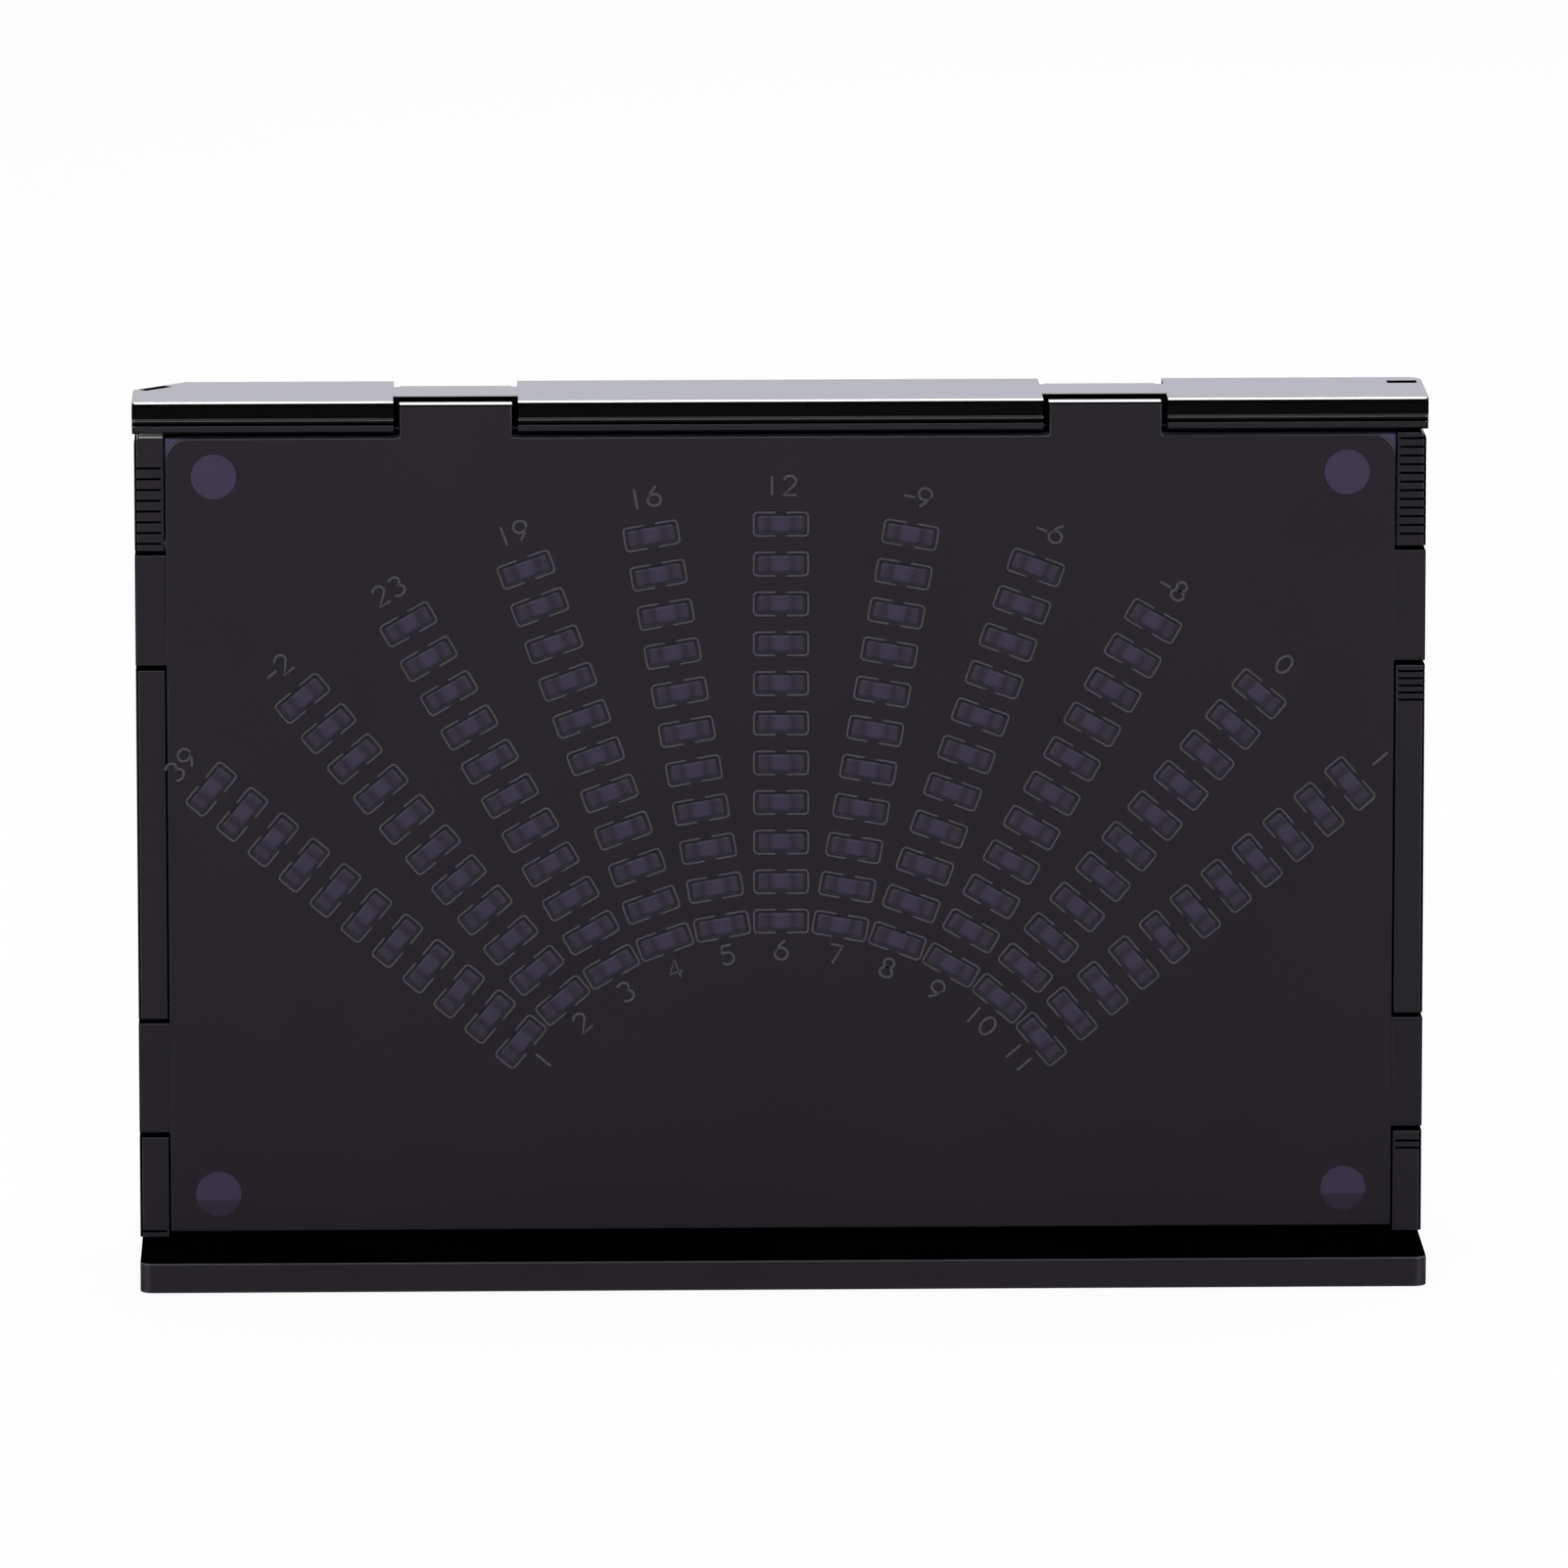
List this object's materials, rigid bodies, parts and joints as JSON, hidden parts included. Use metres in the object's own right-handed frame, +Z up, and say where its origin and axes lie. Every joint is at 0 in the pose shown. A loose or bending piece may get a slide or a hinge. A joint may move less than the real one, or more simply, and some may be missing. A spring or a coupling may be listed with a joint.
{
  "type": "fleet guessing game case",
  "caption": "Upright black game case on a wide foot, with a fan of purple marker windows in a top-hinged front panel, side latches and side storage drawers.",
  "frame": {"origin": "middle of the foot's underside, at table level under the pads", "axes": "+Z up, the front with its fan of windows faces -Y, +X is to the right as seen from the front"},
  "size_m": [0.3394, 0.096, 0.2318],
  "materials": {
    "satin_black_plastic": "satin moulded black plastic with a faint violet tint",
    "gloss_black_plastic": "smooth semi-gloss black plastic",
    "purple_plastic": "smooth dark violet plastic",
    "grey_plastic": "fine matt grey plastic",
    "steel": "plain zinc-plated steel",
    "rubber": "matt black rubber"
  },
  "bodies": {
    "case": {"foot_plate": "satin_black_plastic", "foot_pads": "rubber", "case_shell": "gloss_black_plastic", "top_rail": "gloss_black_plastic", "rear_cover": "satin_black_plastic", "fleet_board": "grey_plastic", "ship_of_five": "grey_plastic", "ship_of_four": "grey_plastic", "ship_of_three": "grey_plastic", "second_ship_of_three": "grey_plastic", "ship_of_two": "grey_plastic", "hinge_pins": "steel", "latch_pins": "steel", "foot_screws": "steel", "rail_screws": "steel", "cover_screws": "steel", "board_screws": "steel"},
    "front_door": {"door_panel": "satin_black_plastic", "purple_sheet": "purple_plastic", "corner_inlays": "purple_plastic", "marker_strip_1": "purple_plastic", "marker_strip_2": "purple_plastic", "marker_strip_3": "purple_plastic", "marker_strip_4": "purple_plastic", "marker_strip_5": "purple_plastic", "marker_strip_6": "purple_plastic", "marker_strip_7": "purple_plastic", "marker_strip_8": "purple_plastic", "marker_strip_9": "purple_plastic", "marker_strip_10": "purple_plastic", "marker_strip_11": "purple_plastic", "sheet_retainer": "gloss_black_plastic", "corner_discs": "purple_plastic", "door_screws": "steel"},
    "left_latch": {"latch_left": "gloss_black_plastic"},
    "right_latch": {"latch_right": "gloss_black_plastic"},
    "left_ship_drawer": {"ship_tray_left": "gloss_black_plastic", "ship_face_left": "gloss_black_plastic"},
    "right_ship_drawer": {"ship_tray_right": "gloss_black_plastic", "ship_face_right": "gloss_black_plastic"},
    "left_peg_drawer": {"peg_tray_left": "gloss_black_plastic", "peg_face_left": "gloss_black_plastic", "pegs_left": "purple_plastic"},
    "right_peg_drawer": {"peg_tray_right": "gloss_black_plastic", "peg_face_right": "gloss_black_plastic", "pegs_right": "purple_plastic"}
  },
  "joints": [
    {"name": "door_hinge", "type": "hinge", "parent": "case", "child": "front_door", "pos_m": [0, -0.0148, 0.2264], "axis": [-1, 0, 0], "range_deg": [0, 95]},
    {"name": "left_latch_pivot", "type": "hinge", "parent": "case", "child": "left_latch", "pos_m": [-0.1672, -0.0082, 0.2205], "axis": [0, 1, 0], "range_deg": [0, 60]},
    {"name": "right_latch_pivot", "type": "hinge", "parent": "case", "child": "right_latch", "pos_m": [0.1672, -0.0082, 0.2205], "axis": [0, -1, 0], "range_deg": [0, 60]},
    {"name": "left_ship_drawer_slide", "type": "slide", "parent": "case", "child": "left_ship_drawer", "axis": [-1, 0, 0], "range_m": [0, 0.045]},
    {"name": "right_ship_drawer_slide", "type": "slide", "parent": "case", "child": "right_ship_drawer", "axis": [1, 0, 0], "range_m": [0, 0.045]},
    {"name": "left_peg_drawer_slide", "type": "slide", "parent": "case", "child": "left_peg_drawer", "axis": [-1, 0, 0], "range_m": [0, 0.05]},
    {"name": "right_peg_drawer_slide", "type": "slide", "parent": "case", "child": "right_peg_drawer", "axis": [1, 0, 0], "range_m": [0, 0.05]}
  ]
}
